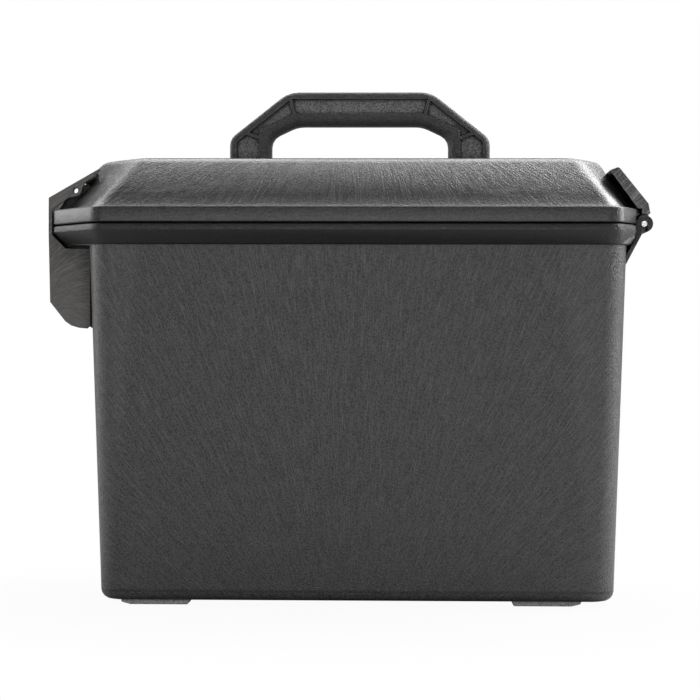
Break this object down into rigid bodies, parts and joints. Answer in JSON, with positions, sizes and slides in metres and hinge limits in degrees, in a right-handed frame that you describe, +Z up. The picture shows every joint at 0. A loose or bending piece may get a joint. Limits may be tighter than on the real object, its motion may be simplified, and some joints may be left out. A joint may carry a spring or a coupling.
{
  "type": "hard carry case with hinged lid",
  "caption": "Tall moulded carry case with a hinged, gasketed lid, a swing-down end latch with padlock holes and a fold-down carry handle.",
  "frame": {"origin": "on the floor under the middle of the whole case, latch and hinge included", "axes": "+X to the hinge end, -Y to the front that the picture shows, +Z up"},
  "size_m": [0.4346, 0.216, 0.3748],
  "materials": {
    "case_plastic": "fine grained",
    "fitting_plastic": "satin",
    "seal_rubber": "matte",
    "foot_rubber": "satin",
    "pin_steel": "plain"
  },
  "bodies": {
    "tub": {"tub": "case_plastic", "hinge_pin": "pin_steel", "latch_pin": "pin_steel", "foot_front_left": "foot_rubber", "foot_front_right": "foot_rubber", "foot_rear_left": "foot_rubber", "foot_rear_right": "foot_rubber"},
    "lid": {"lid": "case_plastic", "lid_gasket": "seal_rubber", "hinge_leaf": "fitting_plastic", "hinge_leaf_screws": "pin_steel", "handle_pin_left": "pin_steel", "handle_pin_right": "pin_steel"},
    "latch": {"latch_lever": "fitting_plastic"},
    "handle": {"handle": "case_plastic"}
  },
  "joints": [
    {"name": "lid_hinge", "type": "hinge", "parent": "tub", "child": "lid", "pos_m": [0.2112, 0, 0.2723], "axis": [0, 1, 0], "range_deg": [0, 105]},
    {"name": "latch_swing", "type": "hinge", "parent": "tub", "child": "latch", "pos_m": [-0.195, 0, 0.2065], "axis": [0, -1, 0], "range_deg": [0, 105]},
    {"name": "handle_fold", "type": "hinge", "parent": "lid", "child": "handle", "pos_m": [0.007, 0, 0.3069], "axis": [-1, 0, 0], "range_deg": [0, 90]}
  ]
}
